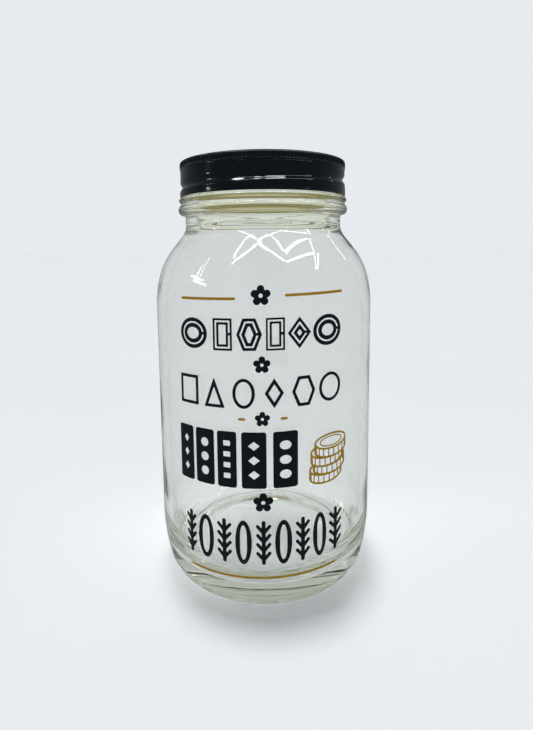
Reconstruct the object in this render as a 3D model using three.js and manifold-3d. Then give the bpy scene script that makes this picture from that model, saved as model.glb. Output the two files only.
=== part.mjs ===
// Coin bank jar: a one-quart glass jar with a two-piece screw lid, a coin slot in the lid's disc,
// and a front decoration of separate cut vinyl pieces. Millimetres, +Z up, the jar's axis is Z and
// the decoration faces -Y. The origin is the middle of the surface that the jar stands on.
import * as THREE from 'three';
import { mergeVertices } from 'three/addons/utils/BufferGeometryUtils.js';
import Module from 'manifold-3d';

// Driving dimensions
const SEGMENTS = 48;

const BODY_RADIUS = 48.1;
const BEARING_INNER = 36.5;
const BEARING_OUTER = 41.6;
const PUSH_UP = 3.5;
const HEEL_HEIGHT = 26.3;
const SHOULDER_START = 117.1;
const SHOULDER_END = 152.4;
const NECK_RADIUS = 34.5;
const WALL = 2.9;
const BASE_THICKNESS = 6;

const LOWER_BEAD = { centre: 35.6, height: 159.0, out: 1.9, half: 2.2 };
const UPPER_BEAD = { centre: 36.0, height: 163.1, out: 1.2, half: 1.0 };
const FINISH_RADIUS = 33.6;
const FINISH_START = 164.9;
const LIP_TOP = 176.7;
const LIP_ROUND = 0.8;
const MOUTH_RADIUS = 29.9;

const THREAD_LEAD = 6.35;
const RIDGE_HEIGHT = 1.8;
const RIDGE_HALF_WIDTH = 1.5;
const GROOVE_DEPTH = 0.95;
const GROOVE_HALF_WIDTH = 2.2;
const GROOVE_FRONT_Z = 169.97;
const RIDGE_ABOVE_GROOVE = 2.0;

const LID_BOTTOM = 164.5;
const LID_TOP = 179.4;
const SHEET = 0.4;
const BAND_RADIUS = 36.3;
const BAND_LOWER_RADIUS = 36.65;
const KNURL_RADIUS = 36.5;
const KNURL_BOTTOM = 176.2;
const FLANGE_INNER = 28.6;

const DISC_RADIUS = 35.2;
const DISC_UNDERSIDE = 178.25;
const PANEL_RADIUS = 26.3;
const PANEL_RISE = 0.5;
const SLOT_LENGTH = 38;
const SLOT_WIDTH = 5;
const GASKET_INNER = 30.6;
const GASKET_OUTER = 33.3;
const GASKET_BOTTOM = 177.0;
const GASKET_TOP = 177.95;

const VINYL_GAP = 0.25;
const VINYL = 0.25;
const VINYL_TILT = 0.02;

const quarter = Math.PI / 2;
const turn = 2 * Math.PI;
const black = new THREE.MeshStandardMaterial({ color: 0x08121e, roughness: 0.35, metalness: 0 });
const gold = new THREE.MeshStandardMaterial({ color: 0xb8891c, roughness: 0.35, metalness: 0.3 });
const glass = new THREE.MeshStandardMaterial({
  color: 0xd3dccb, roughness: 0.05, metalness: 0, transparent: true, opacity: 0.35,
});
const lacquer = new THREE.MeshStandardMaterial({ color: 0x0a121c, roughness: 0.2, metalness: 0.2 });
const rubber = new THREE.MeshStandardMaterial({ color: 0xa9452f, roughness: 0.7, metalness: 0 });

const wasm = await Module();
wasm.setup();

// ---- small geometry helpers ----

const at = (r, z) => new THREE.Vector2(r, z);

// Points of an elliptical arc about (r, z), from one angle to another.
function arc(r, z, rx, rz, from, to, steps) {
  return new THREE.EllipseCurve(r, z, rx, rz, from, to, to < from).getPoints(steps);
}

// A profile of (radius, height) points turned about Z, with its shared vertices merged.
function lathe(profile) {
  const turned = new THREE.LatheGeometry(profile, SEGMENTS).rotateX(quarter);
  return welded(turned);
}

function welded(geometry) {
  geometry.deleteAttribute('normal');
  geometry.deleteAttribute('uv');
  const merged = mergeVertices(geometry, 1e-4);
  const index = merged.index.array;
  const kept = [];
  for (let i = 0; i < index.length; i += 3) {
    const [a, b, c] = [index[i], index[i + 1], index[i + 2]];
    if (a !== b && b !== c && c !== a) kept.push(a, b, c);
  }
  merged.setIndex(kept);
  return merged;
}

function solid(geometry) {
  const vertProperties = new Float32Array(geometry.attributes.position.array);
  const triVerts = new Uint32Array(geometry.index.array);
  return new wasm.Manifold(new wasm.Mesh({ numProp: 3, vertProperties, triVerts }));
}

function geometryOf(manifold) {
  const mesh = manifold.getMesh();
  const geometry = new THREE.BufferGeometry();
  geometry.setAttribute('position', new THREE.BufferAttribute(mesh.vertProperties, 3));
  geometry.setIndex(new THREE.BufferAttribute(mesh.triVerts, 1));
  return geometry;
}

// A flat outline in (x, z), extruded along -Y from the plane y = 0.
function frontPrism(shape, depth) {
  const block = new THREE.ExtrudeGeometry(shape, { depth, bevelEnabled: false, curveSegments: 12 });
  return welded(block.rotateX(quarter));
}

function named(name, geometry, material) {
  const faceted = geometry.toNonIndexed();
  faceted.computeVertexNormals();
  const mesh = new THREE.Mesh(faceted, material);
  mesh.name = name;
  return mesh;
}

// ---- the screw thread ----

// One right-hand helix serves both parts: height of the band's groove at an angle past the front.
const grooveHeight = (angle) => GROOVE_FRONT_Z + THREAD_LEAD * angle / turn;
const ridgeHeight = (angle) => grooveHeight(angle) + RIDGE_ABOVE_GROOVE;

// Moves the wall of a turned solid in or out along the helix between two angles past the front.
function screwWall(geometry, wall, helix, halfWidth, height, start, end, fade) {
  const position = geometry.attributes.position;
  for (let i = 0; i < position.count; i += 1) {
    const [x, y, z] = [position.getX(i), position.getY(i), position.getZ(i)];
    const radius = Math.hypot(x, y);
    if (!wall(radius, z)) continue;
    const front = Math.atan2(x, -y);
    let shift = 0;
    for (let angle = front - 2 * turn; angle < end; angle += turn) {
      const away = Math.abs(z - helix(angle)) / halfWidth;
      const ends = Math.min((angle - start) / fade, (end - angle) / fade, 1);
      if (away < 1 && ends > 0) shift += height * ends * Math.cos(quarter * away) ** 2;
    }
    const scale = (radius + shift) / radius;
    position.setXYZ(i, x * scale, y * scale, z);
  }
}

// ---- glass ----

const heel = new THREE.EllipseCurve(
  BEARING_OUTER, HEEL_HEIGHT, BODY_RADIUS - BEARING_OUTER, HEEL_HEIGHT, -quarter, 0, false,
);
const shoulder = new THREE.CubicBezierCurve(
  at(BODY_RADIUS, SHOULDER_START), at(BODY_RADIUS, SHOULDER_START + 25.1),
  at(NECK_RADIUS, SHOULDER_END - 7.8), at(NECK_RADIUS, SHOULDER_END),
);
const innerRadius = BODY_RADIUS - WALL;
const innerNeck = MOUTH_RADIUS + 0.6;
const innerShoulder = new THREE.CubicBezierCurve(
  at(innerNeck, SHOULDER_END + 2), at(innerNeck, SHOULDER_END - 6),
  at(innerRadius, SHOULDER_START + 22), at(innerRadius, SHOULDER_START - 2),
);

function glassProfile() {
  const underside = new THREE.QuadraticBezierCurve(
    at(0, PUSH_UP), at(BEARING_INNER * 0.7, PUSH_UP), at(BEARING_INNER, 0),
  );
  const bead = (b) => arc(b.centre, b.height, b.out, b.half, -quarter, quarter, 5);
  const lipCorner = arc(
    FINISH_RADIUS - LIP_ROUND, LIP_TOP - LIP_ROUND, LIP_ROUND, LIP_ROUND, 0, quarter, 2,
  );
  const threadRows = [];
  const rows = 14;
  for (let i = 0; i < rows; i += 1) {
    const rise = (LIP_TOP - LIP_ROUND - FINISH_START) / rows;
    threadRows.push(at(FINISH_RADIUS, FINISH_START + i * rise));
  }
  const innerHeel = arc(innerRadius - 12, HEEL_HEIGHT, 12, 18.5, 0, -quarter, 5);
  return [
    ...underside.getPoints(4),
    ...heel.getPoints(7),
    ...shoulder.getPoints(9),
    at(NECK_RADIUS, SHOULDER_END + 3),
    ...bead(LOWER_BEAD),
    ...bead(UPPER_BEAD),
    ...threadRows,
    ...lipCorner,
    at(MOUTH_RADIUS + LIP_ROUND, LIP_TOP),
    at(MOUTH_RADIUS, LIP_TOP - LIP_ROUND),
    at(MOUTH_RADIUS, SHOULDER_END + 8),
    ...innerShoulder.getPoints(7),
    ...innerHeel,
    at(0, PUSH_UP + BASE_THICKNESS),
  ];
}

function glassJar() {
  const geometry = lathe(glassProfile());
  const onFinish = (r, z) => Math.abs(r - FINISH_RADIUS) < 0.01 && z > FINISH_START - 0.01;
  screwWall(geometry, onFinish, ridgeHeight, RIDGE_HALF_WIDTH, RIDGE_HEIGHT,
    -1.5 * Math.PI, 0.94 * Math.PI, 0.4);
  return named('glass_jar', geometry, glass);
}

// ---- lid ----

function screwBand() {
  const corner = arc(KNURL_RADIUS - 1, LID_TOP - 1, 1, 1, quarter, 0, 3);
  const innerCorner = arc(KNURL_RADIUS - 1, LID_TOP - 1, 1 - SHEET, 1 - SHEET, 0, quarter, 3);
  const wallTop = KNURL_BOTTOM - 0.7;
  const wallBottom = LID_BOTTOM + 1.2;
  const rows = 11;
  const wallRadius = (z) => THREE.MathUtils.lerp(
    BAND_LOWER_RADIUS, BAND_RADIUS, THREE.MathUtils.smoothstep(z, wallBottom, wallTop - 3),
  );
  const outer = [];
  for (let i = 0; i <= rows; i += 1) {
    const z = THREE.MathUtils.lerp(wallTop, wallBottom, i / rows);
    outer.push(at(wallRadius(z), z));
  }
  const inner = outer.map((p) => at(p.x - SHEET, p.y)).reverse();
  const curlInner = BAND_LOWER_RADIUS - SHEET - 0.45;
  const profile = [
    at(FLANGE_INNER, LID_TOP - SHEET),
    at(FLANGE_INNER, LID_TOP),
    ...corner,
    at(KNURL_RADIUS, KNURL_BOTTOM),
    at(BAND_RADIUS - 0.25, KNURL_BOTTOM - 0.3),
    ...outer,
    at(BAND_LOWER_RADIUS - 0.25, LID_BOTTOM + 0.5),
    at(BAND_LOWER_RADIUS - 0.55, LID_BOTTOM),
    at(curlInner, LID_BOTTOM + 0.1),
    at(curlInner, LID_BOTTOM + 0.8),
    ...inner,
    at(BAND_RADIUS - 0.25 - SHEET, KNURL_BOTTOM - 0.3),
    at(KNURL_RADIUS - SHEET, KNURL_BOTTOM),
    ...innerCorner,
    at(FLANGE_INNER, LID_TOP - SHEET),
  ].reverse();
  const geometry = lathe(profile);
  const onWall = (r, z) => z < wallTop - 0.01 && z > wallBottom + 0.01;
  screwWall(geometry, onWall, grooveHeight, GROOVE_HALF_WIDTH, -GROOVE_DEPTH,
    -0.85 * Math.PI, 1.1 * Math.PI, 0.4);
  return named('screw_band', geometry, lacquer);
}

function coinSlot() {
  const half = SLOT_LENGTH / 2 - SLOT_WIDTH / 2;
  const outline = new THREE.Shape();
  outline.absarc(half, 0, SLOT_WIDTH / 2, -quarter, quarter);
  outline.absarc(-half, 0, SLOT_WIDTH / 2, quarter, 3 * quarter);
  const cutter = new THREE.ExtrudeGeometry(outline, { depth: 6, bevelEnabled: false, curveSegments: 6 });
  return welded(cutter.translate(0, 0, DISC_UNDERSIDE - 2));
}

function slottedDisc() {
  const top = DISC_UNDERSIDE + SHEET;
  const profile = [
    at(0, DISC_UNDERSIDE + PANEL_RISE),
    at(PANEL_RADIUS, DISC_UNDERSIDE + PANEL_RISE),
    at(PANEL_RADIUS + 1.3, DISC_UNDERSIDE),
    at(DISC_RADIUS - SHEET, DISC_UNDERSIDE),
    at(DISC_RADIUS - SHEET, DISC_UNDERSIDE - 0.8),
    at(DISC_RADIUS, DISC_UNDERSIDE - 0.8),
    at(DISC_RADIUS, top - 0.2),
    at(DISC_RADIUS - 0.3, top),
    at(PANEL_RADIUS + 1.1, top),
    at(PANEL_RADIUS - 0.2, top + PANEL_RISE),
    at(0, top + PANEL_RISE),
  ];
  const disc = solid(lathe(profile)).subtract(solid(coinSlot()));
  return named('slotted_disc', geometryOf(disc), lacquer);
}

function gasket() {
  const profile = [
    at(GASKET_INNER, GASKET_BOTTOM),
    at(GASKET_OUTER, GASKET_BOTTOM),
    at(GASKET_OUTER, GASKET_TOP),
    at(GASKET_INNER, GASKET_TOP),
    at(GASKET_INNER, GASKET_BOTTOM),
  ];
  return named('gasket', lathe(profile), rubber);
}

// ---- flat outlines for the vinyl, centred on (0, 0): s runs round the jar, z runs up ----

const placed = (points, s, z) => points.map((p) => at(p.x + s, p.y + z));

// Corners of an upright polygon stretched to a width and height; many sides make an oval.
function polygon(width, height, sides, start) {
  const corners = [];
  for (let i = 0; i < sides; i += 1) {
    const angle = start + turn * i / sides;
    corners.push(at(Math.cos(angle), Math.sin(angle)));
  }
  const box = new THREE.Box2().setFromPoints(corners);
  const size = box.getSize(at(0, 0));
  const middle = box.getCenter(at(0, 0));
  return corners.map((p) => at(
    (p.x - middle.x) / size.x * width, (p.y - middle.y) / size.y * height,
  ));
}

const oval = (width, height) => polygon(width, height, 16, 0);

// A stroke of constant width along a curve, with round ends.
function stroke(curve, width, steps) {
  const left = [];
  const right = [];
  const side = (t, sign) => {
    const point = curve.getPoint(t);
    const along = curve.getTangent(t);
    return at(point.x - sign * along.y * width / 2, point.y + sign * along.x * width / 2);
  };
  for (let i = 0; i <= steps; i += 1) {
    left.push(side(i / steps, 1));
    right.push(side(i / steps, -1));
  }
  const cap = (t, direction) => {
    const point = curve.getPoint(t);
    const along = curve.getTangent(t).multiplyScalar(direction);
    const facing = Math.atan2(along.y, along.x);
    return [0.67, 0.33, 0, -0.33, -0.67].map((f) => at(
      point.x + Math.cos(facing + f * quarter) * width / 2,
      point.y + Math.sin(facing + f * quarter) * width / 2,
    ));
  };
  return { outline: [...left, ...cap(1, 1), ...right.reverse(), ...cap(0, -1)], holes: [] };
}

// A thick frame with a thin line cut along the middle of its stroke, open at one corner.
function inlineFrame(width, height, sides, start) {
  const outline = polygon(width, height, sides, start);
  const scaled = (k) => outline.map((p) => at(p.x * k, p.y * k));
  const closed = (points) => [...points, points[0].clone()];
  const line = [...closed(scaled(0.76)), ...closed(scaled(0.66)).reverse()];
  const bridge = 0.12;
  line[0].lerp(line[1], bridge);
  line[line.length - 1].lerp(line[line.length - 2], bridge);
  return { outline, holes: [line, scaled(0.38)] };
}

// A frame with a stroke of even width.
function thinFrame(width, height, sides, start, thickness) {
  const outline = polygon(width, height, sides, start);
  const inner = polygon(width - 2 * thickness, height - 2 * thickness, sides, start);
  const drop = sides === 3 ? -thickness * 0.45 : 0;
  const squeeze = sides === 3 ? 0.86 : 1;
  return { outline, holes: [inner.map((p) => at(p.x * squeeze, p.y * squeeze + drop))] };
}

// A tall block with cut corners and a row of windows up its middle.
function tallBlock(width, height, windows, windowSides, start) {
  const cut = 1.2;
  const [w, h] = [width / 2, height / 2];
  const outline = [
    at(-w + cut, -h), at(w - cut, -h), at(w, -h + cut), at(w, h - cut),
    at(w - cut, h), at(-w + cut, h), at(-w, h - cut), at(-w, -h + cut),
  ];
  const pitch = (height - 5) / windows;
  const holes = [];
  for (let i = 0; i < windows; i += 1) {
    const middle = (i - (windows - 1) / 2) * pitch;
    holes.push(placed(polygon(width - 5, pitch - 2.2, windowSides, start), 0, middle));
  }
  return { outline, holes };
}

function tallRing(width, height, thickness) {
  return { outline: oval(width, height), holes: [oval(width - 2 * thickness, height - 2 * thickness)] };
}

// An upright stem with pairs of leaves, drawn with a round pen.
function tallSprig(width, height, thickness, pairs) {
  const reach = (width - thickness) / 2;
  const top = (height - thickness) / 2;
  const pitch = 2 * top / (pairs + 0.5);
  const stem = stroke(new THREE.LineCurve(at(0, -top), at(0, top)), thickness, 1).outline;
  const added = [];
  for (let i = 0; i < pairs; i += 1) {
    const root = at(0, -top + pitch * (i + 0.35));
    for (const side of [-1, 1]) {
      const tip = at(side * reach, root.y + pitch * 0.75);
      added.push(stroke(new THREE.LineCurve(root, tip), thickness * 0.85, 1).outline);
    }
  }
  return { outline: stem, added, holes: [] };
}

// A flower of five round petals round an open middle.
function rosette(size) {
  const petals = 5;
  const steps = 8 * petals;
  const [petalRadius, petalDistance, middleRadius] = [0.18 * size, 0.31 * size, 0.1 * size];
  const outline = [];
  for (let i = 0; i < steps; i += 1) {
    const angle = quarter + turn * i / steps;
    const off = turn / petals * (i / 8 - Math.round(i / 8));
    const across = petalDistance * Math.sin(off);
    const beyond = Math.sqrt(Math.max(0, petalRadius ** 2 - across ** 2));
    const reach = petalDistance * Math.cos(off) + beyond;
    outline.push(at(reach * Math.cos(angle), reach * Math.sin(angle)));
  }
  return { outline, holes: [polygon(2 * middleRadius, 2 * middleRadius, 10, 0)] };
}

function rule(length, thickness) {
  return stroke(new THREE.LineCurve(
    at(-(length - thickness) / 2, 0), at((length - thickness) / 2, 0),
  ), thickness, 1);
}

// Four plain discs in a leaning pile, seen a little from above. Windows along each rim stand for
// its ribs, and an oval one for the top face.
function discStack(width, height) {
  const leans = [-0.5, 0.5, -0.15, 1.0];
  const margin = 0.375;
  const [rx, rz, thick] = [width * 0.4, height * 0.145, height * 0.165];
  const windows = 6;
  const [windowWidth, windowHeight] = [1.2, 1.9];
  const lowest = rz + margin - height / 2;
  const outlines = [];
  const holes = [];
  leans.forEach((lean, disc) => {
    const middle = lean * (width / 2 - rx - margin);
    const foot = lowest + disc * thick;
    const top = foot + thick;
    outlines.push([
      ...arc(middle, top, rx + margin, rz + margin, Math.PI, 0, 10),
      ...arc(middle, foot, rx + margin, rz + margin, 2 * Math.PI, Math.PI, 10),
    ]);
    for (let i = 0; i < windows; i += 1) {
      const across = -Math.cos(Math.PI * (i + 0.5) / windows);
      const drop = rz * Math.sqrt(1 - across ** 2);
      const window = polygon(windowWidth, windowHeight, 4, Math.PI / 4);
      holes.push(placed(window, middle + across * (rx - margin), foot + thick / 2 - drop));
    }
    if (disc === leans.length - 1) holes.push(placed(oval(1.3 * rx, 1.1 * rz), middle, top));
  });
  return { outline: outlines[0], added: outlines.slice(1), holes };
}

// ---- vinyl on the glass ----

// Outer radius of the glass between the bearing ring and the top of the shoulder.
function glassRadius(z) {
  if (z < HEEL_HEIGHT) {
    const sunk = (HEEL_HEIGHT - z) / HEEL_HEIGHT;
    return BEARING_OUTER + (BODY_RADIUS - BEARING_OUTER) * Math.sqrt(1 - sunk * sunk);
  }
  if (z <= SHOULDER_START) return BODY_RADIUS;
  let [low, high] = [0, 1];
  for (let i = 0; i < 30; i += 1) {
    const middle = (low + high) / 2;
    if (shoulder.getPoint(middle).y < z) low = middle;
    else high = middle;
  }
  return shoulder.getPoint(low).x;
}

// A thin sleeve that stands a little off the glass between two heights.
function sleeve(low, high) {
  const steps = low < HEEL_HEIGHT || high > SHOULDER_START ? 5 : 1;
  const inner = [];
  for (let i = 0; i <= steps; i += 1) {
    const z = THREE.MathUtils.lerp(low, high, i / steps);
    inner.push(at(glassRadius(z) + VINYL_GAP, z));
  }
  const outer = inner.map((p) => at(p.x + VINYL, p.y)).reverse();
  return solid(lathe([...inner, ...outer, inner[0]].reverse()));
}

// One piece of vinyl: the outline wrapped round the jar at (s, z) and cut out of a sleeve.
function vinyl(name, pattern, s, z, material, ring) {
  const wrap = (points) => points.map((p) => {
    const [along, up] = [p.x + s, p.y + z + VINYL_TILT * (p.x + s)];
    return at(BODY_RADIUS * Math.sin(along / BODY_RADIUS), up);
  });
  const cutter = (points) => solid(frontPrism(new THREE.Shape(wrap(points)), BODY_RADIUS + 5));
  const whole = (pattern.added ?? []).reduce(
    (piece, points) => piece.add(cutter(points)), cutter(pattern.outline),
  );
  const cut = pattern.holes.reduce(
    (piece, hole) => piece.subtract(cutter(hole)), ring.intersect(whole),
  );
  return named(name, geometryOf(cut), material);
}

// A row of motifs given as [left edge, right edge, maker].
function motifRow(prefix, z, height, motifs, material) {
  const ring = sleeve(z - height / 2 - 2, z + height / 2 + 2);
  return motifs.map(([left, right, make], i) => {
    const name = `${prefix}_${i + 1}`;
    return vinyl(name, make(right - left, height), (left + right) / 2, z, material, ring);
  });
}

function boldRow() {
  const frame = (sides, start) => (w, h) => inlineFrame(w, h, sides, start);
  return motifRow('bold_motif', 111.4, 12.1, [
    [-33.3, -20.2, frame(16, 0)],
    [-17.6, -10.0, frame(4, Math.PI / 4)],
    [-8.3, 1.2, frame(6, 0)],
    [2.6, 9.6, frame(4, Math.PI / 4)],
    [10.6, 19.7, frame(4, 0)],
    [20.6, 33.4, frame(16, 0)],
  ], black);
}

function fineRow() {
  const frame = (sides, start) => (w, h) => thinFrame(w, h, sides, start, 1.2);
  return motifRow('fine_motif', 89.2, 11.6, [
    [-34.1, -24.8, frame(4, Math.PI / 4)],
    [-22.0, -13.3, frame(3, quarter)],
    [-10.2, -1.7, frame(16, 0)],
    [1.9, 9.1, frame(4, 0)],
    [12.2, 21.5, frame(6, 0)],
    [23.2, 33.5, frame(16, 0)],
  ], black);
}

function heavyRow() {
  const block = (windows, sides, start) => (w, h) => tallBlock(w, h, windows, sides, start);
  return motifRow('heavy_motif', 63.3, 22.2, [
    [-35.4, -27.9, block(3, 4, 0)],
    [-26.6, -18.2, block(3, 8, 0)],
    [-16.8, -9.0, block(4, 4, Math.PI / 4)],
    [-7.1, 2.4, block(3, 4, 0)],
    [4.9, 14.4, block(3, 8, 0)],
  ], black);
}

function roundRow() {
  const pen = 1.9;
  const ring = (w, h) => tallRing(w, h, pen);
  const sprig = (w, h) => tallSprig(w, h, pen * 0.8, 4);
  return motifRow('round_motif', 30.2, 18.2, [
    [-33.2, -27.4, sprig],
    [-26.4, -19.2, ring],
    [-17.9, -11.3, sprig],
    [-10.1, -3.6, ring],
    [-2.2, 4.2, sprig],
    [5.4, 12.0, ring],
    [13.2, 19.6, sprig],
    [20.7, 26.8, ring],
    [27.9, 35.0, sprig],
  ], black);
}

function ornaments() {
  const places = [
    ['top', 0.8, 125.3, 8.6],
    ['upper', 1.0, 99.8, 7.4],
    ['middle', 1.0, 79.2, 6.6],
    ['lower', 1.0, 46.3, 8.8],
  ];
  return places.map(([place, s, z, size]) => vinyl(
    `ornament_${place}`, rosette(size), s, z, black, sleeve(z - 6, z + 6),
  ));
}

function goldLines() {
  const thickness = 1.05;
  const lines = [
    ['rule_top_left', -32.9, -8.6, 124.6],
    ['rule_top_right', 9.7, 34.8, 125.4],
    ['dash_left', -8.2, -5.4, 79.4],
    ['dash_right', 7.7, 10.5, 79.4],
    ['rule_bottom', -31.7, 32.2, 15.4],
  ];
  return lines.map(([name, left, right, z]) => vinyl(
    name, rule(right - left, thickness), (left + right) / 2, z, gold, sleeve(z - 3, z + 3),
  ));
}

function stackedDiscs() {
  return vinyl('disc_stack', discStack(19.5, 21.0), 27.2, 60.9, gold, sleeve(48, 75));
}

const jar = new THREE.Group();
jar.add(glassJar());
jar.add(gasket());
jar.add(slottedDisc());
jar.add(screwBand());
jar.add(...boldRow());
jar.add(...fineRow());
jar.add(...heavyRow());
jar.add(...roundRow());
jar.add(...ornaments());
jar.add(...goldLines());
jar.add(stackedDiscs());

export default jar;
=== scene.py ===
"""Looks of the coin bank jar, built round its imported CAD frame. Metres, +Z up, decoration facing -Y."""

import math

import bpy
import numpy as np
from mathutils import Matrix, Vector


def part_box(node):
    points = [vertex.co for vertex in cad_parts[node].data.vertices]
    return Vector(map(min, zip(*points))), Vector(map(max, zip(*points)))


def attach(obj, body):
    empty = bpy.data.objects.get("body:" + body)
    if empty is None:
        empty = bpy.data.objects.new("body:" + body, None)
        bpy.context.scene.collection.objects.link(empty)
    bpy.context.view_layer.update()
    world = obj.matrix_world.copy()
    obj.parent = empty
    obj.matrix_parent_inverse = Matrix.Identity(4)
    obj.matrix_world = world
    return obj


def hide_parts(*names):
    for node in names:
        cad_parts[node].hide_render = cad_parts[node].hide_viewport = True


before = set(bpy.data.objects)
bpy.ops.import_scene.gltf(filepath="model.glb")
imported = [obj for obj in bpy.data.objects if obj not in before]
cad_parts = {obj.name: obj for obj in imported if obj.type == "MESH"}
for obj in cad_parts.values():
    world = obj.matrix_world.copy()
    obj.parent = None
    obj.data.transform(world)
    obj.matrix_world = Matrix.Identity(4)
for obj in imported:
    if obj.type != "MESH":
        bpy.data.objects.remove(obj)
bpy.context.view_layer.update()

MM = 0.001
TAU = 2 * math.pi

# The frame's own sizes
band_low, band_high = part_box("screw_band")
disc_low, disc_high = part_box("slotted_disc")
gasket_low, gasket_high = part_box("gasket")
BODY_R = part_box("glass_jar")[1].x
LIP_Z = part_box("glass_jar")[1].z

# Glass profile, with the heights that the CAD part has
BEARING_IN = 36.5 * MM
BEARING_OUT = 41.6 * MM
PUSH_UP = 3.5 * MM
HEEL_Z = 26.3 * MM
SHOULDER_Z = 117.1 * MM
NECK_Z = 152.4 * MM
NECK_R = 34.5 * MM
WALL = 2.9 * MM
BASE = 6.0 * MM
FINISH_R = 33.6 * MM
FINISH_Z = 164.9 * MM
MOUTH_R = 29.9 * MM
LIP_ROUND = 0.8 * MM
BEADS = (
    (35.6 * MM, 159.0 * MM, 1.9 * MM, 2.2 * MM),
    (36.0 * MM, 163.1 * MM, 1.2 * MM, 1.0 * MM),
)

# Right-hand thread shared by the glass and the band
LEAD = 6.35 * MM
GROOVE_FRONT_Z = 169.97 * MM
RIDGE_LIFT = 2.0 * MM
RIDGE_HEIGHT = 1.8 * MM
RIDGE_HALF = 1.5 * MM
GROOVE_DEPTH = 0.95 * MM
GROOVE_HALF = 2.2 * MM

# Lid, as pressed from sheet
SHEET = 0.4 * MM
BAND_UPPER_R = 36.3 * MM
BAND_LOWER_R = 36.65 * MM
KNURL_R = 36.5 * MM
KNURL_HEIGHT = 3.2 * MM
KNURL_DEPTH = 0.34 * MM
KNURL_RIBS = 160
FLANGE_R = 28.6 * MM
PANEL_R = 26.3 * MM
PANEL_RISE = 0.5 * MM
PANEL_BEAD_R = 22.3 * MM
SLOT_HALF = 16.5 * MM
SLOT_R = 2.5 * MM
GASKET_INNER_R = 30.6 * MM

# Light: how bright the sky is to a look, to matt surfaces and in reflections, the floor's own glow, and the
# painted light of the lid's lining, a glow that brightens its shaded inside
SKY = (0.80, 0.83, 0.86)
SKY_ON_MATT = 0.14
SKY_IN_GLOSS = 0.30
FLOOR_GLOW = 0.14
LINING_PAINTED_LIGHT = 0.12

# Lights stand round a point at the height of the jar's shoulder
AIM_Z = 0.14
LIGHT_REACH = 1.2

# Decoration: gap to the glass and room for its waves, thickness, slant and cutting grid
VINYL_GAP = 0.03 * MM
WAVE_ROOM = 0.04 * MM
VINYL = 0.09 * MM
VINYL_TILT = 0.02
CUT_STEP = 0.28 * MM
ROUND = 16  # the number of sides that stands for an oval


# ---------------------------------------------------------------- small helpers


def mesh_object(name, verts, faces, body, material, smooth=True):
    mesh = bpy.data.meshes.new(name)
    mesh.from_pydata([tuple(v) for v in verts], [], faces)
    mesh.validate()
    mesh.update()
    made = bpy.data.objects.new(name, mesh)
    bpy.context.scene.collection.objects.link(made)
    made.data.materials.append(material)
    mesh.polygons.foreach_set("use_smooth", [smooth] * len(mesh.polygons))
    if body:
        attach(made, body)
    return made


def turned(profile, segments, move=None):
    """Vertices and quads of a profile of (radius, height) turned about Z. A radius of 0 ends on the axis."""
    angle = np.arange(segments) * TAU / segments
    verts, rings = [], []
    for r, z in profile:
        if r < 1e-9:
            rings.append([len(verts)] * segments)
            verts.append((0.0, 0.0, z))
            continue
        rings.append(list(range(len(verts), len(verts) + segments)))
        ring = np.stack([r + 0 * angle, z + 0 * angle], 1)
        if move:
            ring = move(ring[:, 0], ring[:, 1], angle)
        for (rr, zz), a in zip(ring, angle):
            verts.append((rr * math.sin(a), -rr * math.cos(a), zz))
    faces = []
    for low, high in zip(rings, rings[1:]):
        for i in range(segments):
            j = (i + 1) % segments
            corners = [low[i], low[j], high[j], high[i]]
            corners = [c for k, c in enumerate(corners) if c != corners[k - 1]]
            if len(corners) > 2:
                faces.append(corners)
    return verts, faces


def turned_ring(profile, segments, move=None):
    """The same for a profile that closes on itself, such as a band or a gasket."""
    verts, faces = turned(profile + profile[:1], segments, move)
    ring = len(verts) - segments
    return verts[:ring], [[i if i < ring else i - ring for i in f] for f in faces]


def ellipse_arc(r, z, rx, rz, start, end, steps):
    t = np.linspace(math.radians(start), math.radians(end), steps)
    return [(r + rx * math.cos(a), z + rz * math.sin(a)) for a in t]


def bezier(a, b, c, d, steps):
    t = np.linspace(0, 1, steps)[:, None]
    a, b, c, d = (np.array(p) for p in (a, b, c, d))
    p = (1 - t) ** 3 * a + 3 * (1 - t) ** 2 * t * b + 3 * (1 - t) * t * t * c + t ** 3 * d
    return [tuple(q) for q in p]


def line(a, b, steps):
    return [tuple(np.array(a) + (np.array(b) - np.array(a)) * t) for t in np.linspace(0, 1, steps)]


def smoothstep(x, low, high):
    t = np.clip((x - low) / (high - low), 0, 1)
    return t * t * (3 - 2 * t)


# ---------------------------------------------------------------- materials


def new_material(name):
    material = bpy.data.materials.new(name)
    material.use_nodes = True
    nodes = material.node_tree.nodes
    return material, nodes, material.node_tree.links, nodes["Principled BSDF"]


def add(nodes, kind, **values):
    node = nodes.new(kind)
    for key, value in values.items():
        if key in node.inputs:
            node.inputs[key].default_value = value
        else:
            setattr(node, key, value)
    return node


def noise(nodes, links, scale, detail=4.0, rough=0.55):
    where = nodes.new("ShaderNodeTexCoord")
    made = add(nodes, "ShaderNodeTexNoise", Scale=scale, Detail=detail, Roughness=rough)
    links.new(where.outputs["Object"], made.inputs["Vector"])
    return made


def ramp(nodes, links, source, stops):
    made = nodes.new("ShaderNodeValToRGB")
    while len(made.color_ramp.elements) < len(stops):
        made.color_ramp.elements.new(0.5)
    for element, (position, colour) in zip(made.color_ramp.elements, stops):
        element.position = position
        element.color = colour if len(colour) == 4 else (*colour, 1)
    links.new(source, made.inputs["Fac"])
    return made


def bump(nodes, links, source, strength, distance, shader):
    made = add(nodes, "ShaderNodeBump", Strength=strength, Distance=distance)
    links.new(source, made.inputs["Height"])
    links.new(made.outputs["Normal"], shader.inputs["Normal"])
    return made


def grey(value):
    return (value, value, value)


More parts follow.
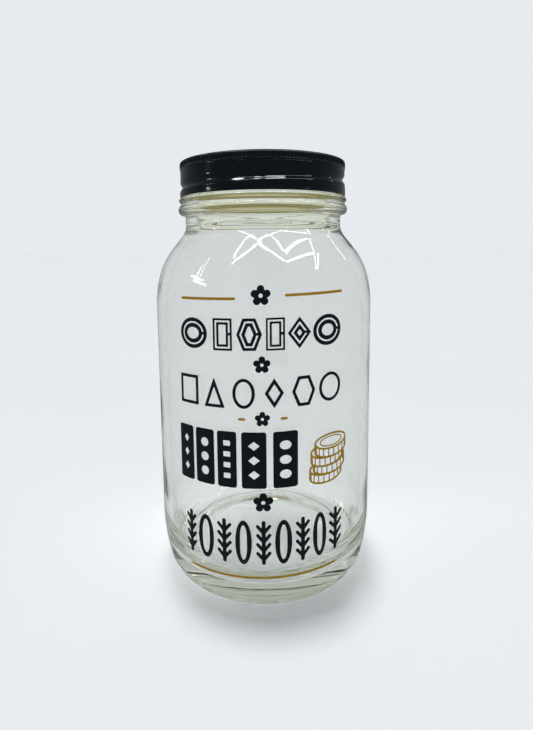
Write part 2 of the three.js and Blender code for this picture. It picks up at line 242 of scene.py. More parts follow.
def glass_material():
    material, nodes, links, shader = new_material("soda_lime_glass")
    # the two rings under the lid are thick, and look olive
    where = nodes.new("ShaderNodeTexCoord")
    split = nodes.new("ShaderNodeSeparateXYZ")
    links.new(where.outputs["Object"], split.inputs[0])
    height = add(nodes, "ShaderNodeMapRange")
    height.inputs["From Min"].default_value = NECK_Z
    height.inputs["From Max"].default_value = NECK_Z + 20 * MM
    links.new(split.outputs["Z"], height.inputs["Value"])
    clear, olive = (0.925, 0.93, 0.92), (0.94, 0.945, 0.81)
    tint = ramp(nodes, links, height.outputs[0], [
        (0.20, clear), (0.27, olive), (0.40, olive), (0.45, clear), (0.49, clear), (0.53, olive),
    ])
    links.new(tint.outputs["Color"], shader.inputs["Base Color"])
    shader.inputs["Transmission Weight"].default_value = 1.0
    shader.inputs["IOR"].default_value = 1.5
    fine = noise(nodes, links, 160, 3)
    rough = ramp(nodes, links, fine.outputs["Fac"], [(0.35, grey(0.0)), (0.8, grey(0.035))])
    links.new(rough.outputs["Color"], shader.inputs["Roughness"])
    slow = noise(nodes, links, 45, 2)
    bump(nodes, links, slow.outputs["Fac"], 0.12, 0.0008, shader)
    absorb = add(nodes, "ShaderNodeVolumeAbsorption", Color=(0.54, 0.57, 0.42, 1), Density=12.0)
    output = nodes["Material Output"]
    links.new(absorb.outputs["Volume"], output.inputs["Volume"])
    # light that falls through the jar goes straight on
    path = nodes.new("ShaderNodeLightPath")
    passed = add(nodes, "ShaderNodeBsdfTransparent", Color=(0.88, 0.885, 0.89, 1))
    mix = nodes.new("ShaderNodeMixShader")
    links.new(path.outputs["Is Shadow Ray"], mix.inputs["Fac"])
    links.new(shader.outputs["BSDF"], mix.inputs[1])
    links.new(passed.outputs["BSDF"], mix.inputs[2])
    links.new(mix.outputs["Shader"], output.inputs["Surface"])
    return material


def lacquer_material(name, wear):
    material, nodes, links, shader = new_material(name)
    peel = noise(nodes, links, 900, 2)
    slow = noise(nodes, links, 120, 5)
    tone = ramp(nodes, links, slow.outputs["Fac"], [
        (0.3, (0.0018, 0.0042, 0.0065)), (0.7, (0.0042, 0.0080, 0.0115)),
    ])
    geometry = nodes.new("ShaderNodeNewGeometry")
    edge = ramp(nodes, links, geometry.outputs["Pointiness"], [(0.60, grey(0)), (0.72, grey(wear))])
    broken = add(nodes, "ShaderNodeMath", operation="MULTIPLY")
    spots = noise(nodes, links, 700, 3)
    spotted = ramp(nodes, links, spots.outputs["Fac"], [(0.52, grey(0)), (0.66, grey(1))])
    links.new(edge.outputs["Color"], broken.inputs[0])
    links.new(spotted.outputs["Color"], broken.inputs[1])
    mix = add(nodes, "ShaderNodeMix", data_type="RGBA")
    links.new(broken.outputs["Value"], mix.inputs[0])
    links.new(tone.outputs["Color"], mix.inputs[6])
    mix.inputs[7].default_value = (0.42, 0.40, 0.36, 1)
    links.new(mix.outputs[2], shader.inputs["Base Color"])
    links.new(broken.outputs["Value"], shader.inputs["Metallic"])
    rough = ramp(nodes, links, slow.outputs["Fac"], [(0.3, grey(0.045)), (0.75, grey(0.09))])
    links.new(rough.outputs["Color"], shader.inputs["Roughness"])
    shader.inputs["Specular IOR Level"].default_value = 0.22
    bump(nodes, links, peel.outputs["Fac"], 0.10, 0.0001, shader)
    return material


def lining_material():
    material, nodes, links, shader = new_material("lid_lining_painted_glow")
    slow = noise(nodes, links, 150, 4)
    tone = ramp(nodes, links, slow.outputs["Fac"], [(0.3, (0.82, 0.76, 0.36)), (0.7, (0.90, 0.84, 0.44))])
    links.new(tone.outputs["Color"], shader.inputs["Base Color"])
    rough = ramp(nodes, links, slow.outputs["Fac"], [(0.3, grey(0.3)), (0.75, grey(0.45))])
    links.new(rough.outputs["Color"], shader.inputs["Roughness"])
    # painted light: the lining glows in its own colour, so the shaded inside of the lid looks lit through the
    # glass rings
    links.new(tone.outputs["Color"], shader.inputs["Emission Color"])
    shader.inputs["Emission Strength"].default_value = LINING_PAINTED_LIGHT
    bump(nodes, links, slow.outputs["Fac"], 0.1, 0.0001, shader)
    return material


def vinyl_material(name, low, high, rough_low, rough_high, metallic):
    material, nodes, links, shader = new_material(name)
    mottled = noise(nodes, links, 260, 5)
    tone = ramp(nodes, links, mottled.outputs["Fac"], [(0.3, low), (0.7, high)])
    links.new(tone.outputs["Color"], shader.inputs["Base Color"])
    rough = ramp(nodes, links, mottled.outputs["Fac"], [(0.3, grey(rough_low)), (0.7, grey(rough_high))])
    links.new(rough.outputs["Color"], shader.inputs["Roughness"])
    shader.inputs["Metallic"].default_value = metallic
    shader.inputs["Specular IOR Level"].default_value = 0.2
    grain = noise(nodes, links, 1500, 2)
    bump(nodes, links, grain.outputs["Fac"], 0.15, 0.00004, shader)
    return material


def rubber_material():
    material, nodes, links, shader = new_material("sealing_compound")
    slow = noise(nodes, links, 200, 5)
    tone = ramp(nodes, links, slow.outputs["Fac"], [(0.3, (0.36, 0.07, 0.045)), (0.7, (0.45, 0.11, 0.07))])
    links.new(tone.outputs["Color"], shader.inputs["Base Color"])
    rough = ramp(nodes, links, slow.outputs["Fac"], [(0.3, grey(0.5)), (0.7, grey(0.68))])
    links.new(rough.outputs["Color"], shader.inputs["Roughness"])
    bump(nodes, links, slow.outputs["Fac"], 0.2, 0.0002, shader)
    return material


def paper_material():
    material, nodes, links, shader = new_material("studio_paper")
    slow = noise(nodes, links, 6, 3)
    tone = ramp(nodes, links, slow.outputs["Fac"], [(0.3, (0.795, 0.825, 0.85)), (0.7, (0.805, 0.835, 0.86))])
    links.new(tone.outputs["Color"], shader.inputs["Base Color"])
    links.new(tone.outputs["Color"], shader.inputs["Emission Color"])
    shader.inputs["Emission Strength"].default_value = FLOOR_GLOW
    rough = ramp(nodes, links, slow.outputs["Fac"], [(0.3, grey(0.8)), (0.7, grey(0.9))])
    links.new(rough.outputs["Color"], shader.inputs["Roughness"])
    shader.inputs["Specular IOR Level"].default_value = 0.1
    return material


GLASS = glass_material()
LACQUER = lacquer_material("black_lacquer", 0.0)
KNURLED = lacquer_material("black_lacquer_worn", 0.8)
BLACK_VINYL = vinyl_material("black_vinyl", (0.0025, 0.006, 0.011), (0.004, 0.009, 0.015), 0.32, 0.42, 0.0)
GOLD_VINYL = vinyl_material("gold_vinyl", (0.47, 0.27, 0.010), (0.56, 0.34, 0.030), 0.36, 0.46, 0.2)
RUBBER = rubber_material()
LINING = lining_material()


# ---------------------------------------------------------------- glass


def shoulder_curve(steps):
    return bezier(
        (BODY_R, SHOULDER_Z), (BODY_R, SHOULDER_Z + 25.1 * MM),
        (NECK_R, NECK_Z - 7.8 * MM), (NECK_R, NECK_Z), steps,
    )


SHOULDER = np.array(shoulder_curve(200))


def glass_radius(z):
    """Outer radius of the glass between the bearing ring and the neck, for an array of heights."""
    sunk = np.clip((HEEL_Z - z) / HEEL_Z, 0, 1)
    heel = BEARING_OUT + (BODY_R - BEARING_OUT) * np.sqrt(1 - sunk * sunk)
    above = np.interp(z, SHOULDER[:, 1], SHOULDER[:, 0])
    return np.where(z < SHOULDER_Z, heel, above)


def along_thread(front, helix_z, z, half_width, start, end, fade):
    """How far into a helical ridge or groove a point is, from 0 to 1. Angles are past the front."""
    total = 0 * z
    for turns in (-2, -1, 0, 1, 2):
        angle = front + turns * TAU
        away = np.abs(z - (helix_z + LEAD * angle / TAU)) / half_width
        ends = np.clip(np.minimum((angle - start) / fade, (end - angle) / fade), 0, 1)
        total = total + np.where(away < 1, ends * np.cos(math.pi / 2 * np.minimum(away, 1)) ** 2, 0)
    return total


def glass_outer_move(r, z, angle):
    front = np.where(angle > math.pi, angle - TAU, angle)
    ridge = along_thread(
        front, GROOVE_FRONT_Z + RIDGE_LIFT, z, RIDGE_HALF, -1.5 * math.pi, 0.94 * math.pi, 0.4,
    )
    on_finish = (z > FINISH_Z - 1e-6) & (np.abs(r - FINISH_R) < 1e-5)
    r = r + np.where(on_finish, RIDGE_HEIGHT * ridge, 0)
    # the two halves of the mould meet at the sides in a fine seam
    seam = np.exp(-((np.abs(np.abs(front) - math.pi / 2)) / 0.006) ** 2)
    r = r + 0.10 * MM * seam * smoothstep(z, 4 * MM, 9 * MM) * (1 - smoothstep(z, NECK_Z, NECK_Z + 2 * MM))
    # slow waves of pressed glass
    wave = np.sin(3 * front + 61 * z) * 0.5 + np.sin(5 * front - 97 * z + 1.3) * 0.3
    r = r + 0.035 * MM * wave * smoothstep(z, 20 * MM, 40 * MM) * (1 - smoothstep(z, 150 * MM, 156 * MM))
    # stippled ring on the heel that the jar stands on
    stipple = np.cos(38 * front) ** 4 * np.exp(-((z - 4.6 * MM) / (0.8 * MM)) ** 2)
    r = r + 0.32 * MM * stipple * (r > BEARING_OUT)
    return np.stack([r, z], 1)


def glass_inner_move(r, z, angle):
    front = np.where(angle > math.pi, angle - TAU, angle)
    body = smoothstep(z, 12 * MM, 30 * MM) * (1 - smoothstep(z, 148 * MM, 158 * MM))
    wave = (
        np.sin(2 * front + 45 * z + 0.4) * 0.45
        + np.sin(4 * front - 120 * z + 2.0) * 0.25
        + np.sin(7 * front + 210 * z) * 0.12
    )
    r = r + 0.22 * MM * wave * body
    return np.stack([r, z], 1)


def bead_profile():
    """The two rings round the neck, with a soft hollow under each."""
    (low_r, low_z, low_out, low_half), (top_r, top_z, top_out, top_half) = BEADS
    low = ellipse_arc(low_r, low_z, low_out, low_half, -72, 62, 18)
    top = ellipse_arc(top_r, top_z, top_out, top_half, -50, 90, 14)
    fillet = (NECK_R, low[0][1] - 0.8 * MM)
    under = line((NECK_R, NECK_Z), fillet, 5)
    under += bezier(fillet, (NECK_R, low[0][1] - 0.2 * MM), (NECK_R + 0.7 * MM, low[0][1]), low[0], 8)[1:]
    hollow = bezier(
        low[-1], (low[-1][0] - 0.25 * MM, low[-1][1] + 0.35 * MM),
        (top[0][0] - 0.3 * MM, top[0][1] - 0.25 * MM), top[0], 8,
    )
    return under[1:] + low[1:] + hollow[1:-1] + top


def glass_jar():
    inner_r = BODY_R - WALL
    inner_neck = MOUTH_R + 0.6 * MM
    underside = bezier(
        (0, PUSH_UP), (BEARING_IN * 0.5, PUSH_UP), (BEARING_IN * 0.8, PUSH_UP * 0.8),
        (BEARING_IN, 0), 26,
    )
    outer = (
        underside
        + line((BEARING_IN + 0.4 * MM, 0), (BEARING_OUT, 0), 5)
        + ellipse_arc(BEARING_OUT, HEEL_Z, BODY_R - BEARING_OUT, HEEL_Z, -89.6, 0, 56)
        + line((BODY_R, HEEL_Z + 2 * MM), (BODY_R, SHOULDER_Z - 2 * MM), 46)
        + shoulder_curve(40)
        + bead_profile()
    )
    outer += line((FINISH_R, FINISH_Z), (FINISH_R, LIP_Z - LIP_ROUND), 40)
    outer += ellipse_arc(FINISH_R - LIP_ROUND, LIP_Z - LIP_ROUND, LIP_ROUND, LIP_ROUND, 12, 90, 6)
    inner = (
        ellipse_arc(MOUTH_R + LIP_ROUND, LIP_Z - LIP_ROUND, LIP_ROUND, LIP_ROUND, 90, 180, 6)
        + line((MOUTH_R, LIP_Z - 2 * MM), (MOUTH_R, NECK_Z + 8 * MM), 10)
        + bezier(
            (inner_neck, NECK_Z + 2 * MM), (inner_neck, NECK_Z - 6 * MM),
            (inner_r, SHOULDER_Z + 22 * MM), (inner_r, SHOULDER_Z - 2 * MM), 40,
        )
        + line((inner_r, SHOULDER_Z - 4 * MM), (inner_r, HEEL_Z + 2 * MM), 46)
        + ellipse_arc(inner_r - 12 * MM, HEEL_Z, 12 * MM, 18.5 * MM, 0, -88, 30)
        + bezier(
            (inner_r - 13 * MM, 7.85 * MM), (inner_r - 18 * MM, 8.1 * MM),
            (10 * MM, PUSH_UP + BASE), (0, PUSH_UP + BASE), 20,
        )
    )
    # the first and last points are on the axis, and don't move
    shifts = iter([glass_outer_move] * (len(outer) - 1) + [glass_inner_move] * (len(inner) - 1))
    verts, faces = turned(outer + inner, 384, lambda r, z, angle: next(shifts)(r, z, angle))
    made = mesh_object("jar_glass", verts, faces, "jar", GLASS)
    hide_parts("glass_jar")


glass_jar()


# ---------------------------------------------------------------- lid


def line_inside(made, first_row, segments):
    """Puts the pale lining on the faces from one row of a turned profile on."""
    made.data.materials.append(LINING)
    row = np.arange(len(made.data.polygons)) // segments
    made.data.polygons.foreach_set("material_index", (row >= first_row).astype(np.int32))


def screw_band():
    top, bottom = band_high.z, band_low.z
    knurl_bottom = top - KNURL_HEIGHT
    wall_top = knurl_bottom - 0.7 * MM
    wall_bottom = bottom + 1.2 * MM
    inner_r, inner_knurl_r = BAND_UPPER_R - SHEET, KNURL_R - SHEET

    def wall(z):
        widened = 1 - smoothstep(z, wall_bottom, wall_top - 3 * MM)
        return BAND_UPPER_R + (BAND_LOWER_R - BAND_UPPER_R) * widened

    heights = np.linspace(wall_top, wall_bottom, 56)
    outside = [(float(wall(z)), float(z)) for z in heights]
    inside = [(r - SHEET, z) for r, z in reversed(outside)]
    curl = ellipse_arc(BAND_LOWER_R - 0.5 * MM, bottom + 0.55 * MM, 0.5 * MM, 0.55 * MM, 40, -180, 14)
    outer = (
        ellipse_arc(FLANGE_R, top - SHEET / 2, SHEET / 2, SHEET / 2, 270, 90, 8)
        + line((FLANGE_R + 0.6 * MM, top), (KNURL_R - 1.6 * MM, top), 8)
        + ellipse_arc(KNURL_R - 1.1 * MM, top - 1.1 * MM, 1.1 * MM, 1.1 * MM, 90, 0, 12)
        + line((KNURL_R, top - 1.4 * MM), (KNURL_R, knurl_bottom), 8)
        + bezier(
            (KNURL_R, knurl_bottom - 0.05 * MM), (KNURL_R - 0.3 * MM, knurl_bottom - 0.15 * MM),
            (BAND_UPPER_R - 0.32 * MM, knurl_bottom - 0.4 * MM), (BAND_UPPER_R, wall_top + 0.05 * MM), 8,
        )
        + outside
        + curl
    )
    profile = (
        outer
        + inside
        + bezier(
            (inner_r, wall_top + 0.05 * MM), (inner_r - 0.3 * MM, knurl_bottom - 0.4 * MM),
            (inner_knurl_r - 0.3 * MM, knurl_bottom - 0.15 * MM),
            (inner_knurl_r, knurl_bottom - 0.05 * MM), 8,
        )
        + line((inner_knurl_r, knurl_bottom), (inner_knurl_r, top - 1.4 * MM), 8)
        + ellipse_arc(KNURL_R - 1.1 * MM, top - 1.1 * MM, 0.7 * MM, 0.7 * MM, 0, 90, 8)
        + line((KNURL_R - 1.6 * MM, top - SHEET), (FLANGE_R + 0.6 * MM, top - SHEET), 6)
    )
    segments = KNURL_RIBS * 6

    def move(r, z, angle):
        front = np.where(angle > math.pi, angle - TAU, angle)
        groove = along_thread(front, GROOVE_FRONT_Z, z, GROOVE_HALF, -0.85 * math.pi, 1.1 * math.pi, 0.4)
        on_wall = (z < wall_top) & (z > wall_bottom)
        r = r - np.where(on_wall, GROOVE_DEPTH * groove, 0)
        rib = 0.5 - 0.5 * np.cos(KNURL_RIBS * angle)
        knurled = smoothstep(z, knurl_bottom - 0.1 * MM, knurl_bottom + 0.5 * MM)
        knurled = knurled * smoothstep(r, KNURL_R - 1.3 * MM, KNURL_R - 0.6 * MM)
        r = r - KNURL_DEPTH * rib * knurled
        return np.stack([r, z], 1)

    verts, faces = turned_ring(profile, segments, move)
    made = mesh_object("lid_band", verts, faces, "band", KNURLED)
    line_inside(made, len(outer), segments)
    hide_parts("screw_band")
    return made


def slot_edge(t, offset):
    """A point of the slot's outline, widened by an offset. Its place along the outline goes with angle t."""
    reach = SLOT_R + offset
    straight = 2 * SLOT_HALF
    whole = 2 * straight + TAU * reach
    d = (t / TAU * whole) % whole
    quarter = math.pi / 2 * reach
    if d < quarter:
        a = d / reach
        return SLOT_HALF + reach * math.cos(a), reach * math.sin(a)
    d -= quarter
    if d < straight:
        return SLOT_HALF - d, reach
    d -= straight
    if d < 2 * quarter:
        a = math.pi / 2 + d / reach
        return -SLOT_HALF + reach * math.cos(a), reach * math.sin(a)
    d -= 2 * quarter
    if d < straight:
        return -SLOT_HALF + d, -reach
    a = -math.pi / 2 + (d - straight) / reach
    return SLOT_HALF + reach * math.cos(a), reach * math.sin(a)


def slotted_disc():
    top, rim_bottom = disc_high.z, disc_low.z
    rim_r = disc_high.x
    rim_top = top - PANEL_RISE

    def surface(r, under):
        rise = PANEL_RISE * (1 - smoothstep(r, PANEL_R - 0.3 * MM, PANEL_R + 1.2 * MM))
        bead = 0.35 * MM * np.exp(-((r - PANEL_BEAD_R) / (0.7 * MM)) ** 2)
        z = rim_top + rise - bead
        return z - SHEET if under else z

    # rings run from the slot's own outline out to a circle, and then to the rim
    segments = 288
    angle = np.arange(segments) * TAU / segments
    edge = np.array([slot_edge(a, 0) for a in angle])
    wide = np.array([slot_edge(a, 0.9 * MM) for a in angle])
    circle = np.stack([np.cos(angle), np.sin(angle)], 1)
    rings = []
    lip = 0.55 * MM
    for t in np.linspace(0, 1, 5):
        dip = lip * (1 - math.sin(t * math.pi / 2))
        rings.append((edge + (wide - edge) * (1 - math.cos(t * math.pi / 2)), dip))
    for t in np.linspace(0.12, 1, 10):
        rings.append((wide + (circle * 21.0 * MM - wide) * t, 0))
    for r in np.linspace(21.3 * MM, rim_r - 0.5 * MM, 44):
        rings.append((circle * r, 0))
    verts, rows = [], []

    def add_ring(xy, z):
        rows.append(len(verts))
        verts.extend((x, y, float(h)) for (x, y), h in zip(xy, z))

    def height(xy, dip, under):
        return surface(np.hypot(xy[:, 0], xy[:, 1]), under) - dip

    for xy, dip in rings:
        add_ring(xy, height(xy, dip, False))
    for a in np.linspace(90, 0, 6):
        r = rim_r - 0.4 * MM + 0.4 * MM * math.cos(math.radians(a))
        z = rim_top - 0.4 * MM + 0.4 * MM * math.sin(math.radians(a))
        add_ring(circle * r, z + 0 * angle)
    add_ring(circle * rim_r, rim_bottom + 0 * angle)
    add_ring(circle * (rim_r - SHEET), rim_bottom + 0 * angle)
    add_ring(circle * (rim_r - SHEET), rim_top - SHEET - 0.1 * MM + 0 * angle)
    underside = len(rows) - 2
    for xy, dip in reversed(rings):
        add_ring(xy, height(xy, dip, True))
    faces = []
    loop = rows + rows[:1]
    for low, high in zip(loop, loop[1:]):
        for i in range(segments):
            j = (i + 1) % segments
            faces.append([low + i, high + i, high + j, low + j])
    made = mesh_object("lid_disc_plate", verts, faces, "lid_disc", LACQUER)
    line_inside(made, underside, segments)
    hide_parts("slotted_disc")
    return made


def gasket():
    inner, outer = GASKET_INNER_R, gasket_high.x
    low, high = gasket_low.z, gasket_high.z
    half = (high - low) / 2
    mid = (high + low) / 2
    profile = (
        ellipse_arc(outer - half, mid, half, half, -90, 90, 12)
        + ellipse_arc(inner + half, mid, half, half, 90, 270, 12)
    )
    verts, faces = turned_ring(profile, 160)
    made = mesh_object("lid_gasket", verts, faces, "lid_disc", RUBBER)
    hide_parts("gasket")


lid = [screw_band(), slotted_disc()]
gasket()


# ---------------------------------------------------------------- vinyl motifs, as distance fields
# Each field takes (s, z) in metres from the motif's middle, and is negative inside the vinyl.


def inside_box(s, z, width, height, corner):
    ds = np.abs(s) - width / 2 + corner
    dz = np.abs(z) - height / 2 + corner
    return np.hypot(np.maximum(ds, 0), np.maximum(dz, 0)) + np.minimum(np.maximum(ds, dz), 0) - corner


def inside_oval(s, z, width, height):
    a, b = width / 2, height / 2
    k = np.hypot(s / a, z / b)
    g = np.hypot(s / a ** 2, z / b ** 2) + 1e-9
    return k * (k - 1) / g


def inside_polygon(s, z, width, height, sides, start):
    """A convex polygon stretched to a width and height."""
    turn = start + np.arange(sides) * TAU / sides
    corner = np.stack([np.cos(turn), np.sin(turn)], 1)
    low, high = corner.min(0), corner.max(0)
    corner = (corner - (low + high) / 2) / (high - low) * (width, height)
    far = np.full(np.shape(s), -1.0)
    for a, b in zip(corner, np.roll(corner, -1, 0)):
        out = np.array([b[1] - a[1], a[0] - b[0]])
        out = out / np.hypot(*out)
        far = np.maximum(far, (s - a[0]) * out[0] + (z - a[1]) * out[1])
    return far


def near_segment(s, z, a, b, width):
    (ax, ay), (bx, by) = a, b
    length = (bx - ax) ** 2 + (by - ay) ** 2
    t = np.clip(((s - ax) * (bx - ax) + (z - ay) * (by - ay)) / length, 0, 1)
    return np.hypot(s - ax - t * (bx - ax), z - ay - t * (by - ay)) - width / 2


def outline_field(s, z, width, height, sides, start):
    if sides == ROUND:
        return inside_oval(s, z, width, height)
    return inside_polygon(s, z, width, height, sides, start)


def inline_frame(sides, start):
    """A thick frame with a thin line cut along the middle of its stroke, bridged at one place."""
    def field(s, z, width, height):
        d = outline_field(s, z, width, height, sides, start)
        stroke = min(width, height) * 0.31
        frame_only = np.maximum(d, -(d + stroke))
        cut = np.abs(d + stroke * 0.48) - 0.33 * MM
        bridge = near_segment(s, z, (0, 0), (width / 2, height * 0.02), 0.9 * MM)
        return np.maximum(frame_only, -np.maximum(cut, -bridge))
    return field


def thin_frame(sides, start):
    def field(s, z, width, height):
        d = outline_field(s, z, width, height, sides, start)
        return np.maximum(d, -(d + 1.2 * MM))
    return field


def tall_block(windows, sides, start):
    def field(s, z, width, height):
        d = inside_box(s, z, width, height, 1.0 * MM)
        pitch = (height - 5 * MM) / windows
        for i in range(windows):
            middle = (i - (windows - 1) / 2) * pitch
            hole_w, hole_h = width - 5 * MM, pitch - 2.2 * MM
            d = np.maximum(d, -outline_field(s, z - middle, hole_w, hole_h, sides, start))
        return d
    return field


def tall_ring(s, z, width, height):
    d = inside_oval(s, z, width, height)
    return np.maximum(d, -(d + 1.9 * MM))


def tall_sprig(s, z, width, height):
    pen, pairs = 1.52 * MM, 4
    reach, top = (width - pen) / 2, (height - pen) / 2
    pitch = 2 * top / (pairs + 0.5)
    d = near_segment(s, z, (0, -top), (0, top), pen)
    for i in range(pairs):
        root = -top + pitch * (i + 0.35)
        for side in (-1, 1):
            tip = (side * reach, root + pitch * 0.75)
            d = np.minimum(d, near_segment(s, z, (0, root), tip, pen * 0.85))
    return d


def rosette(s, z, width, height):
    """A flower of five round petals with an open middle."""
    size = height / 2
    petal, out = 0.36 * size, 0.62 * size
    d = np.hypot(s, z) - 0.5 * size
    for k in range(5):
        a = math.pi / 2 + k * TAU / 5
        d = np.minimum(d, np.hypot(s - out * math.cos(a), z - out * math.sin(a)) - petal)
    return np.maximum(d, 0.2 * size - np.hypot(s, z))


def rule(s, z, width, height):
    return near_segment(s, z, (-(width - height) / 2, 0), ((width - height) / 2, 0), height)


def disc_stack(s, z, width, height):
    """Four plain discs in a leaning pile, as a line drawing."""
    pen = 0.75 * MM
    leans = (-0.5, 0.5, -0.15, 1.0)
    rx, rz = width * 0.40, height * 0.145
    thick = height * 0.165
    low = -height / 2 + rz + pen / 2
    d = np.full(np.shape(s), 1.0)
    for i, lean in enumerate(leans):
        x = s - lean * (width / 2 - rx - pen / 2)
        foot, top = low + i * thick, low + (i + 1) * thick
        upper = inside_oval(x, z - top, 2 * rx, 2 * rz)
        lower = inside_oval(x, z - foot, 2 * rx, 2 * rz)
        between = np.maximum(np.abs(x) - rx, np.abs(z - (foot + top) / 2) - thick / 2)
        body = np.minimum(np.minimum(upper, lower), between)
        lines = np.minimum(np.abs(body), np.abs(upper)) - pen / 2
        for k in range(1, 9):
            tick = -rx * math.cos(math.pi * k / 9)
            drop = rz * math.sqrt(1 - (tick / rx) ** 2)
            lines = np.minimum(lines, near_segment(x, z, (tick, top - drop), (tick, foot - drop), 0.6 * pen))
        if i == len(leans) - 1:
            lines = np.minimum(lines, np.abs(inside_oval(x, z - top, 1.4 * rx, 1.3 * rz)) - pen / 3)
        d = np.minimum(np.maximum(d, -body), lines)
    return d


def vinyl_sheet(name, field, material):
    """Cuts the motif out of a fine grid, wraps it round the glass, and gives it its thickness."""
    low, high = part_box(name)
    s_low, s_high = (BODY_R * math.asin(x / BODY_R) for x in (low.x, high.x))
    middle, width = (s_low + s_high) / 2, s_high - s_low
    z_mid = (low.z + high.z) / 2
    height = high.z - low.z - VINYL_TILT * width
    reach_s, reach_z = width / 2 + CUT_STEP, (high.z - low.z) / 2 + CUT_STEP
    s = np.arange(-reach_s, reach_s + CUT_STEP, CUT_STEP)
    z = np.arange(-reach_z, reach_z + CUT_STEP, CUT_STEP)
    S, Z = np.meshgrid(s, z, indexing="ij")
    D = field(S, Z - VINYL_TILT * S, width, height)
    points, index, faces = [], {}, []

    def node(i, j):
        if (i, j) not in index:
            index[i, j] = len(points)
            points.append((S[i, j], Z[i, j]))
        return index[i, j]

    def crossing(a, b):
        key = (a, b) if a < b else (b, a)
        if key not in index:
            (i, j), (k, l) = key
            t = D[i, j] / (D[i, j] - D[k, l])
            t = min(max(t, 0.02), 0.98)
            index[key] = len(points)
            points.append((S[i, j] + t * (S[k, l] - S[i, j]), Z[i, j] + t * (Z[k, l] - Z[i, j])))
        return index[key]

    for i in range(len(s) - 1):
        for j in range(len(z) - 1):
            corners = [(i, j), (i + 1, j), (i + 1, j + 1), (i, j + 1)]
            within = [D[c] < 0 for c in corners]
            if not any(within):
                continue
            polygon = []
            for k in range(4):
                a, b = corners[k], corners[(k + 1) % 4]
                if within[k]:
                    polygon.append(node(*a))
                if within[k] != within[(k + 1) % 4]:
                    polygon.append(crossing(a, b))
            if sum(within) == 2 and within[0] == within[2]:
                # two opposite corners stay apart
                if within[0]:
                    polygon = polygon[-1:] + polygon[:-1]
                faces.extend((polygon[:3], polygon[3:]))
                continue
            faces.append(polygon)
    flat = np.array(points)
    around = (flat[:, 0] + middle) / BODY_R
    up = flat[:, 1] + z_mid
    base = glass_radius(up) + VINYL_GAP + WAVE_ROOM
    verts = []
    for lift in (VINYL, 0.0):
        r = base + lift
        verts.extend(zip(r * np.sin(around), -r * np.cos(around), up))
    count = len(flat)
    edges = {}
    for f in faces:
        for a, b in zip(f, f[1:] + f[:1]):
            edges[a, b] = edges.get((a, b), 0) + 1
    walls = [(a, b) for a, b in edges if (b, a) not in edges]
    everything = (
        list(faces)
        + [[v + count for v in reversed(f)] for f in faces]
        + [[b, a, a + count, b + count] for a, b in walls]
    )
    made = mesh_object("vinyl_" + name, verts, everything, "jar", material, smooth=False)
    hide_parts(name)


def black_motifs():
    square = math.pi / 4
    fields = {
        "bold_motif_1": inline_frame(ROUND, 0),
        "bold_motif_2": inline_frame(4, square),
        "bold_motif_3": inline_frame(6, 0),
        "bold_motif_4": inline_frame(4, square),
        "bold_motif_5": inline_frame(4, 0),
        "bold_motif_6": inline_frame(ROUND, 0),
        "fine_motif_1": thin_frame(4, square),
        "fine_motif_2": thin_frame(3, math.pi / 2),
        "fine_motif_3": thin_frame(ROUND, 0),
        "fine_motif_4": thin_frame(4, 0),
        "fine_motif_5": thin_frame(6, 0),
        "fine_motif_6": thin_frame(ROUND, 0),
        "heavy_motif_1": tall_block(3, 4, 0),
        "heavy_motif_2": tall_block(3, ROUND, 0),
        "heavy_motif_3": tall_block(4, 4, square),
        "heavy_motif_4": tall_block(3, 4, 0),
        "heavy_motif_5": tall_block(3, ROUND, 0),
    }
    for i in range(1, 10):
        fields[f"round_motif_{i}"] = tall_sprig if i % 2 else tall_ring
    for place in ("top", "upper", "middle", "lower"):
        fields[f"ornament_{place}"] = rosette
    for name, field in fields.items():
        vinyl_sheet(name, field, BLACK_VINYL)


def gold_motifs():
    for name in ("rule_top_left", "rule_top_right", "dash_left", "dash_right", "rule_bottom"):
        vinyl_sheet(name, rule, GOLD_VINYL)
    vinyl_sheet("disc_stack", disc_stack, GOLD_VINYL)


black_motifs()
gold_motifs()


# ---------------------------------------------------------------- stage, light and camera


def studio():
    """A wide flat floor of pale paper, a hair under the glass."""
    radii = [0.0] + [0.05 * 2 ** i for i in range(9)]
    verts, faces = turned([(r, -0.2 * MM) for r in radii], 96)
    floor = mesh_object("studio_floor", verts, faces, None, paper_material())
    floor.visible_glossy = False


def sky():
    world = bpy.data.worlds.new("soft_sky")
    bpy.context.scene.world = world
    world.use_nodes = True
    nodes, links = world.node_tree.nodes, world.node_tree.links
    background = nodes["Background"]
    background.inputs["Color"].default_value = (*SKY, 1)
    path = nodes.new("ShaderNodeLightPath")
    # a ray through slightly rough glass counts as glossy too, and has to see the sky as it is
    mirrored = add(nodes, "ShaderNodeMath", operation="SUBTRACT", use_clamp=True)
    links.new(path.outputs["Is Glossy Ray"], mirrored.inputs[0])
    links.new(path.outputs["Is Transmission Ray"], mirrored.inputs[1])
    strength = None
    for chosen, level in ((path.outputs["Is Diffuse Ray"], SKY_ON_MATT), (mirrored.outputs[0], SKY_IN_GLOSS)):
        mix = add(nodes, "ShaderNodeMix")
        links.new(chosen, mix.inputs[0])
        mix.inputs[2].default_value = 1.0
        mix.inputs[3].default_value = level
        if strength:
            links.new(strength, mix.inputs[2])
        strength = mix.outputs[0]
    links.new(strength, background.inputs["Strength"])


def aimed(name, data, place, target):
    made = bpy.data.objects.new(name, data)
    bpy.context.scene.collection.objects.link(made)
    made.location = place
    made.rotation_euler = (Vector(target) - Vector(place)).to_track_quat("-Z", "Y").to_euler()
    return made


def round_the_jar(azimuth, elevation):
    """A place a little over a metre from the jar's shoulder. Azimuth 0 is the front and 90 the right."""
    a, e = math.radians(azimuth), math.radians(elevation)
    level = LIGHT_REACH * math.cos(e)
    return Vector((level * math.sin(a), -level * math.cos(a), AIM_Z + LIGHT_REACH * math.sin(e)))


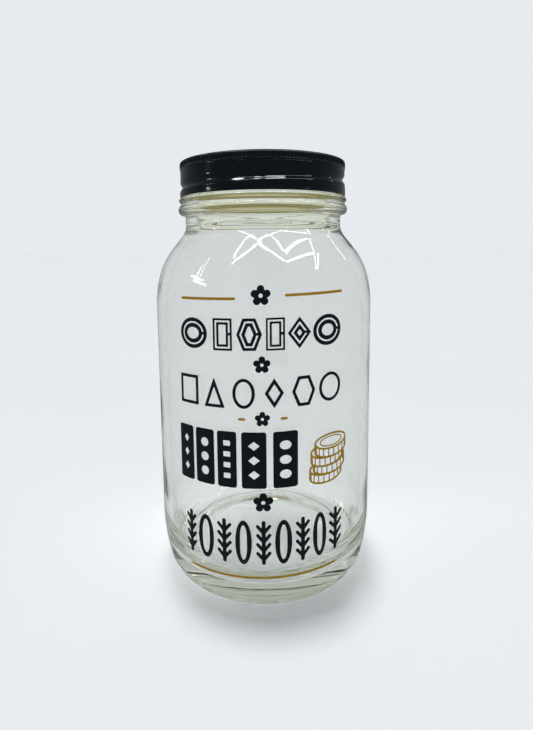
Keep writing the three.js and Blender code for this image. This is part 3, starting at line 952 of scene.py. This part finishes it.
def strip_light(name, start, end, width, radiance):
    """A thin strip between two directions. It makes highlights, and doesn't light matt surfaces."""
    a, b = round_the_jar(*start), round_the_jar(*end)
    data = bpy.data.lights.new(name, "AREA")
    data.shape = "RECTANGLE"
    data.size, data.size_y = (b - a).length, width
    data.energy = math.pi * data.size * data.size_y * radiance
    made = bpy.data.objects.new(name, data)
    bpy.context.scene.collection.objects.link(made)
    middle = (a + b) / 2
    along = (b - a).normalized()
    back = (middle - Vector((0, 0, AIM_Z))).normalized()
    back = (back - along * back.dot(along)).normalized()
    up = back.cross(along)
    made.matrix_world = Matrix.Translation(middle) @ Matrix((along, up, back)).transposed().to_4x4()
    made.visible_diffuse = False
    return made


def lights(lid):
    # two suns light everything, and aren't mirrored or seen through the glass
    for name, energy, spread, place in (
        ("key", 1.90, 9, (-0.03, 0.10, 1.0)),
        ("dome", 0.50, 150, (0.0, 0.05, 1.0)),
    ):
        data = bpy.data.lights.new(name, "SUN")
        data.energy = energy
        data.angle = math.radians(spread)
        sun = aimed(name, data, place, (0, 0, 0))
        sun.visible_glossy = False
        sun.visible_transmission = False
    # the windows that the shoulder and the sides of the glass mirror
    for name, start, end, width, radiance in (
        ("strip_left", (-41, 46), (-22, 76), 0.045, 18),
        ("strip_middle", (-18, 78), (34, 52), 0.045, 18),
        ("strip_right", (36, 51), (90, 49), 0.055, 18),
        ("strip_end", (93, 47), (68, 33), 0.03, 16),
        ("window_bar", (-64, 20), (-84, 21), 0.035, 14),
        ("window_post", (-76, 21), (-77, 36), 0.025, 14),
        ("strip_side", (118, 24), (126, 34), 0.02, 9),
    ):
        strip_light(name, start, end, width, radiance)
    # windows that only the lid's lacquer shows
    receivers = bpy.data.collections.new("lid")
    for piece in lid:
        receivers.objects.link(piece)
    for name, start, end, width, radiance in (
        ("lid_window_right", (8, 68), (58, 68), 0.17, 45),
        ("lid_window_middle", (-22, 70), (-8, 70), 0.15, 45),
        ("lid_window_left", (-82, 68), (-60, 68), 0.17, 40),
        ("lid_window_low", (-71, 6), (-76, 6), 0.09, 70),
    ):
        window = strip_light(name, start, end, width, radiance)
        window.light_linking.receiver_collection = receivers


def camera():
    """Close in front of the jar, level with its shoulder and looking slightly down."""
    data = bpy.data.cameras.new("camera")
    made = bpy.data.objects.new("camera", data)
    bpy.context.scene.collection.objects.link(made)
    bpy.context.scene.camera = made
    data.sensor_fit = "AUTO"
    data.sensor_width = 36.0
    data.lens = 23.61
    data.shift_y = -0.0877
    data.clip_start = 0.01
    distance, side, height = 0.2196, 0.00124, 0.1439
    swing, pitch, roll = math.radians(2.02), math.radians(6.72), math.radians(-0.55)
    turn = Matrix.Rotation(swing, 4, "Z")
    place = turn @ Vector((side, -distance, height))
    aim = turn @ Matrix.Rotation(math.pi / 2 - pitch, 4, "X") @ Matrix.Rotation(roll, 4, "Z")
    made.matrix_world = Matrix.Translation(place) @ aim


studio()
sky()
lights(lid)
camera()
bpy.context.scene.view_settings.view_transform = "Standard"
# light is passed on many times inside the thick base
bpy.context.scene.cycles.max_bounces = 32
bpy.context.scene.cycles.glossy_bounces = 24
bpy.context.scene.cycles.transmission_bounces = 32
